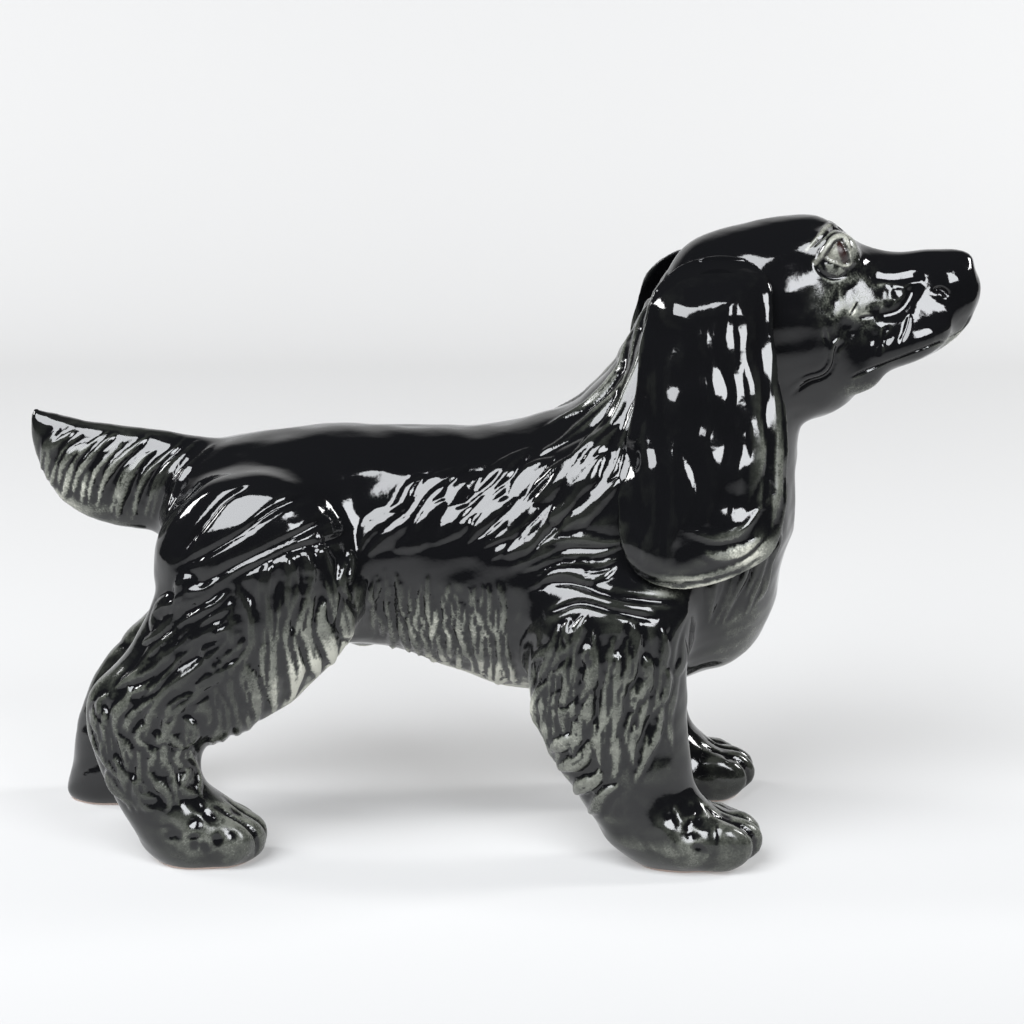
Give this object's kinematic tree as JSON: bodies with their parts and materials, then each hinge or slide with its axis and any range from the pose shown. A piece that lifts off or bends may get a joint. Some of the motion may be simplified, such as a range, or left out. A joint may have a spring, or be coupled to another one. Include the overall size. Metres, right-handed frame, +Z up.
{
  "type": "standing spaniel figurine",
  "caption": "Standing spaniel figurine in black-glazed earthenware, hollow cast body, head, tail and legs luted together, long hanging ears.",
  "frame": {"origin": "on the table, under the middle of the figurine's box", "axes": "+X the way the dog faces, +Y its left, +Z up"},
  "size_m": [0.312, 0.1042, 0.213],
  "materials": {
    "black_glaze": "glossy black glaze, thinner and grey where it breaks over the modelled hair",
    "slip": "fired luting slip under the same black glaze"
  },
  "bodies": {
    "root": {"trunk": "black_glaze", "head": "black_glaze", "right_ear": "black_glaze", "left_ear": "black_glaze", "tail": "black_glaze", "right_foreleg": "black_glaze", "left_foreleg": "black_glaze", "right_hind_leg": "black_glaze", "left_hind_leg": "black_glaze", "head_slip": "slip", "tail_slip": "slip", "right_ear_slip": "slip", "left_ear_slip": "slip", "right_foreleg_slip": "slip", "left_foreleg_slip": "slip", "right_hind_leg_slip": "slip", "left_hind_leg_slip": "slip"}
  },
  "joints": []
}
